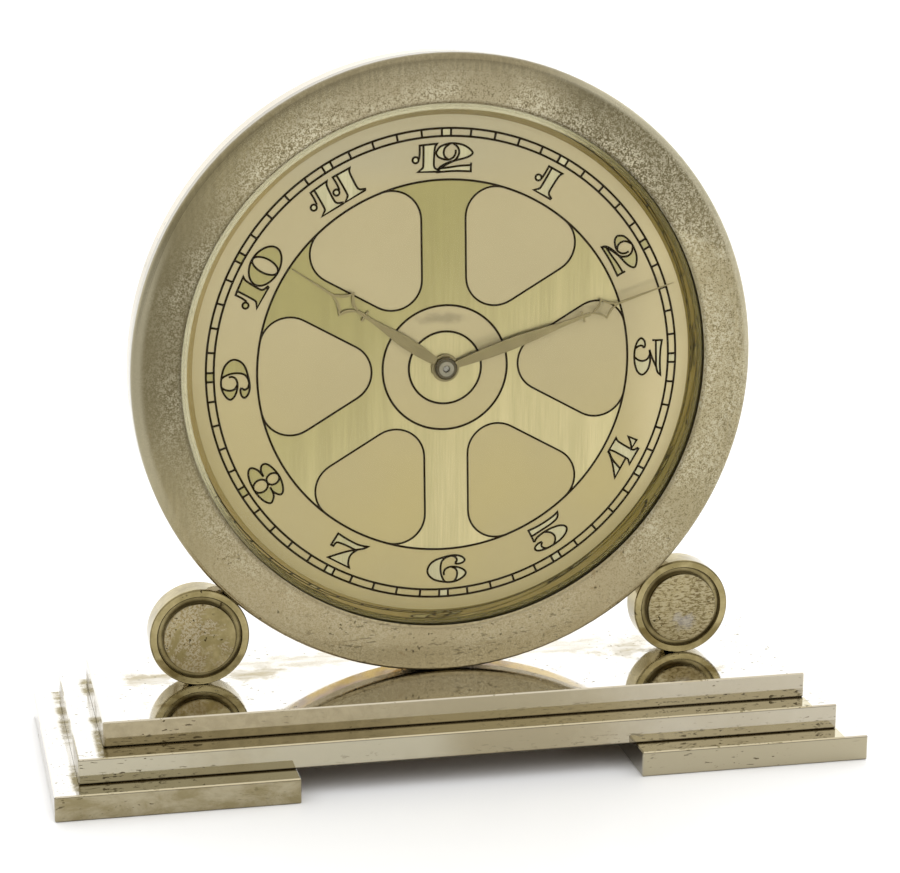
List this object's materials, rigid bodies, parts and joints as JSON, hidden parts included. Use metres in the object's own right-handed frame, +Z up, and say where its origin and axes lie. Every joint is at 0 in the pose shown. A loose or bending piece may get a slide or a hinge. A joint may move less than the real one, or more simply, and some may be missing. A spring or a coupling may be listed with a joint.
{
  "type": "desk clock",
  "caption": "Round spring-driven desk clock with a shallow case held between two rollers on a stepped base, wound and set from behind.",
  "frame": {"origin": "middle of the two feet, on the surface the clock stands on", "axes": "+X to the right as seen from the front, +Y to the back, +Z up"},
  "size_m": [0.169, 0.0604, 0.1462],
  "materials": {
    "nickel": "polished nickel plate over brass, specked with age",
    "roller_nickel": "nickel plate over brass, brushed faces",
    "case_nickel": "nickel plate over brass, satin",
    "bezel_nickel": "nickel plate over brass, finely speckled tarnish",
    "glass": "clear polished",
    "gilt": "polished pale gilt",
    "dial_champagne": "matt champagne silvering with brushed spokes",
    "movement_brass": "fine satin",
    "wheel_brass": "polished",
    "steel": "polished",
    "spring_steel": "blued",
    "screw_steel": "polished heads",
    "hand_brass": "satin pale brass",
    "collet_nickel": "satin",
    "key_brass": "polished"
  },
  "bodies": {
    "clock_frame": {"foot_left": "nickel", "foot_right": "nickel", "middle_plate": "nickel", "top_plate": "nickel", "base_screws": "screw_steel", "roller_left": "roller_nickel", "roller_right": "roller_nickel", "roller_screws": "screw_steel", "case_screw": "screw_steel", "anchor_block": "movement_brass", "case_pan": "case_nickel", "bezel": "bezel_nickel", "glass": "glass", "sight_ring": "gilt", "dial": "dial_champagne", "dial_screws": "screw_steel", "rear_housing": "case_nickel", "housing_screws": "screw_steel", "rear_cover": "case_nickel", "cover_screws": "screw_steel", "movement_screws": "screw_steel", "front_plate": "movement_brass", "back_plate": "movement_brass", "pillars": "movement_brass", "pillar_screws": "screw_steel", "click_spring": "spring_steel", "pallet_cock": "movement_brass", "balance_cock": "movement_brass", "bridge_screws": "screw_steel"},
    "minute_hand": {"minute_hand": "hand_brass", "cannon_pinion": "steel", "hand_collet": "collet_nickel"},
    "hour_hand": {"hour_hand": "hand_brass", "hour_wheel": "wheel_brass"},
    "minute_wheel": {"minute_wheel": "wheel_brass"},
    "setting_arbor": {"setting_arbor": "steel", "setting_knob": "key_brass"},
    "barrel": {"barrel": "wheel_brass", "barrel_cover": "wheel_brass", "mainspring": "spring_steel"},
    "barrel_arbor": {"barrel_arbor": "steel", "ratchet_wheel": "steel", "winding_key": "key_brass"},
    "intermediate_wheel": {"intermediate_wheel": "wheel_brass", "intermediate_arbor": "steel"},
    "centre_wheel": {"centre_wheel": "wheel_brass", "centre_arbor": "steel"},
    "third_wheel": {"third_wheel": "wheel_brass", "third_arbor": "steel"},
    "fourth_wheel": {"fourth_wheel": "wheel_brass", "fourth_arbor": "steel"},
    "escape_wheel": {"escape_wheel": "wheel_brass", "escape_arbor": "steel"},
    "pallet_fork": {"pallet_fork": "steel", "pallet_arbor": "steel"},
    "balance": {"balance_wheel": "wheel_brass", "balance_staff": "steel", "hairspring": "spring_steel"},
    "click": {"click": "steel"},
    "regulator": {"regulator": "steel"}
  },
  "joints": [
    {"name": "minute_hand_turn", "type": "hinge", "parent": "clock_frame", "child": "minute_hand", "pos_m": [0, 0, 0.0812], "axis": [0, 1, 0], "continuous": true},
    {"name": "hour_hand_turn", "type": "hinge", "parent": "clock_frame", "child": "hour_hand", "pos_m": [0, 0, 0.0812], "axis": [0, 1, 0], "continuous": true},
    {"name": "minute_wheel_turn", "type": "hinge", "parent": "clock_frame", "child": "minute_wheel", "pos_m": [0.003, 0, 0.0864], "axis": [0, 1, 0], "continuous": true},
    {"name": "setting_arbor_turn", "type": "hinge", "parent": "clock_frame", "child": "setting_arbor", "pos_m": [0.0076, 0, 0.09025], "axis": [0, 1, 0], "continuous": true},
    {"name": "fourth_wheel_turn", "type": "hinge", "parent": "clock_frame", "child": "fourth_wheel", "pos_m": [0.01044, 0, 0.07073], "axis": [0, 1, 0], "continuous": true},
    {"name": "third_wheel_turn", "type": "hinge", "parent": "clock_frame", "child": "third_wheel", "pos_m": [0.00846, 0, 0.07812], "axis": [0, 1, 0], "continuous": true},
    {"name": "centre_wheel_turn", "type": "hinge", "parent": "clock_frame", "child": "centre_wheel", "pos_m": [0, 0, 0.0812], "axis": [0, 1, 0], "continuous": true},
    {"name": "intermediate_wheel_turn", "type": "hinge", "parent": "clock_frame", "child": "intermediate_wheel", "pos_m": [-0.00795, 0, 0.07698], "axis": [0, 1, 0], "continuous": true},
    {"name": "barrel_turn", "type": "hinge", "parent": "clock_frame", "child": "barrel", "pos_m": [-0.01259, 0, 0.09061], "axis": [0, 1, 0], "continuous": true},
    {"name": "escape_wheel_turn", "type": "hinge", "parent": "clock_frame", "child": "escape_wheel", "pos_m": [0.00424, 0, 0.06847], "axis": [0, 1, 0], "continuous": true},
    {"name": "barrel_arbor_turn", "type": "hinge", "parent": "clock_frame", "child": "barrel_arbor", "pos_m": [-0.01259, 0, 0.09061], "axis": [0, 1, 0], "continuous": true, "deforming": ["mainspring"]},
    {"name": "click_lift", "type": "hinge", "parent": "clock_frame", "child": "click", "pos_m": [-0.02047, 0, 0.08922], "axis": [0, 1, 0], "range_deg": [-14, 0], "deforming": ["click_spring"]},
    {"name": "pallet_fork_swing", "type": "hinge", "parent": "clock_frame", "child": "pallet_fork", "pos_m": [-0.00009, 0, 0.0669], "axis": [0, 1, 0], "range_deg": [-5, 5]},
    {"name": "balance_swing", "type": "hinge", "parent": "clock_frame", "child": "balance", "pos_m": [-0.00479, 0, 0.06519], "axis": [0, 1, 0], "range_deg": [-270, 270], "deforming": ["hairspring"]},
    {"name": "regulator_turn", "type": "hinge", "parent": "clock_frame", "child": "regulator", "pos_m": [-0.00479, 0, 0.06519], "axis": [0, 1, 0], "range_deg": [-20, 20]}
  ],
  "couplings": [
    {"joint": "hour_hand_turn", "follows": "minute_hand_turn", "ratio": 0.083333},
    {"joint": "minute_wheel_turn", "follows": "minute_hand_turn", "ratio": -0.33333},
    {"joint": "setting_arbor_turn", "follows": "minute_hand_turn", "ratio": 1},
    {"joint": "third_wheel_turn", "follows": "fourth_wheel_turn", "ratio": -0.13333},
    {"joint": "centre_wheel_turn", "follows": "fourth_wheel_turn", "ratio": 0.016667},
    {"joint": "intermediate_wheel_turn", "follows": "fourth_wheel_turn", "ratio": -0.0033333},
    {"joint": "barrel_turn", "follows": "fourth_wheel_turn", "ratio": 0.00041667},
    {"joint": "escape_wheel_turn", "follows": "fourth_wheel_turn", "ratio": -10}
  ]
}
